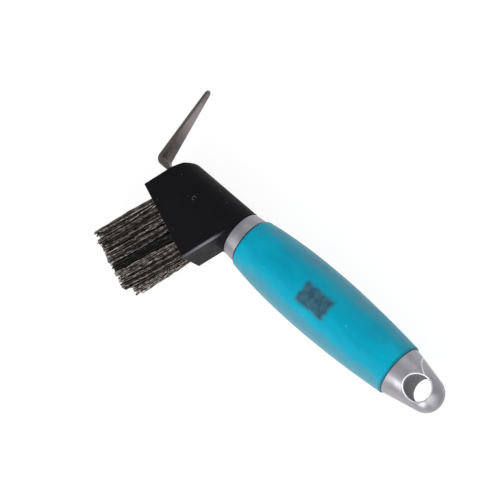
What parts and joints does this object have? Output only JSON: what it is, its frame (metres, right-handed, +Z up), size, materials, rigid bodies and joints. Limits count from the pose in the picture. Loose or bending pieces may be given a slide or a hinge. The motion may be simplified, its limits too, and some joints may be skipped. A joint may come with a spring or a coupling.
{
  "type": "hoof pick",
  "caption": "Hoof pick with a bent steel pick, a bristle brush on a moulded head, and a barrel-shaped gel grip that ends in a cap with a hang hole.",
  "frame": {"origin": "under the middle of the whole pick, on the plane it lies on when it is laid on its side", "axes": "+X along the handle from the head to the end cap, +Y to the side of the steel pick, +Z up through the head's flat side"},
  "size_m": [0.2016, 0.1052, 0.0347],
  "materials": {
    "pick_steel": "satin ground steel strip",
    "black_plastic": "moulded black plastic, satin",
    "bristle": "crimped black and warm grey filament",
    "staple": "flat anchor wire",
    "silver_paint": "satin silver paint on moulded plastic",
    "core_plastic": "moulded plastic core",
    "label": "plain dark patch",
    "gel": "soft translucent teal gel"
  },
  "bodies": {
    "root": {"hook_blade": "pick_steel", "brush_head": "black_plastic", "collar_ring": "silver_paint", "handle_core": "core_plastic", "label_patch": "label", "gel_grip": "gel", "end_cap": "silver_paint", "tuft_01": "bristle", "tuft_02": "bristle", "tuft_03": "bristle", "tuft_04": "bristle", "tuft_05": "bristle", "tuft_06": "bristle", "tuft_07": "bristle", "tuft_08": "bristle", "tuft_09": "bristle", "tuft_10": "bristle", "tuft_11": "bristle", "tuft_12": "bristle", "tuft_13": "bristle", "tuft_14": "bristle", "tuft_15": "bristle", "tuft_16": "bristle", "tuft_17": "bristle", "tuft_18": "bristle", "tuft_19": "bristle", "tuft_20": "bristle", "tuft_anchor_01": "staple", "tuft_anchor_02": "staple", "tuft_anchor_03": "staple", "tuft_anchor_04": "staple", "tuft_anchor_05": "staple", "tuft_anchor_06": "staple", "tuft_anchor_07": "staple", "tuft_anchor_08": "staple", "tuft_anchor_09": "staple", "tuft_anchor_10": "staple", "tuft_anchor_11": "staple", "tuft_anchor_12": "staple", "tuft_anchor_13": "staple", "tuft_anchor_14": "staple", "tuft_anchor_15": "staple", "tuft_anchor_16": "staple", "tuft_anchor_17": "staple", "tuft_anchor_18": "staple", "tuft_anchor_19": "staple", "tuft_anchor_20": "staple"}
  },
  "joints": []
}
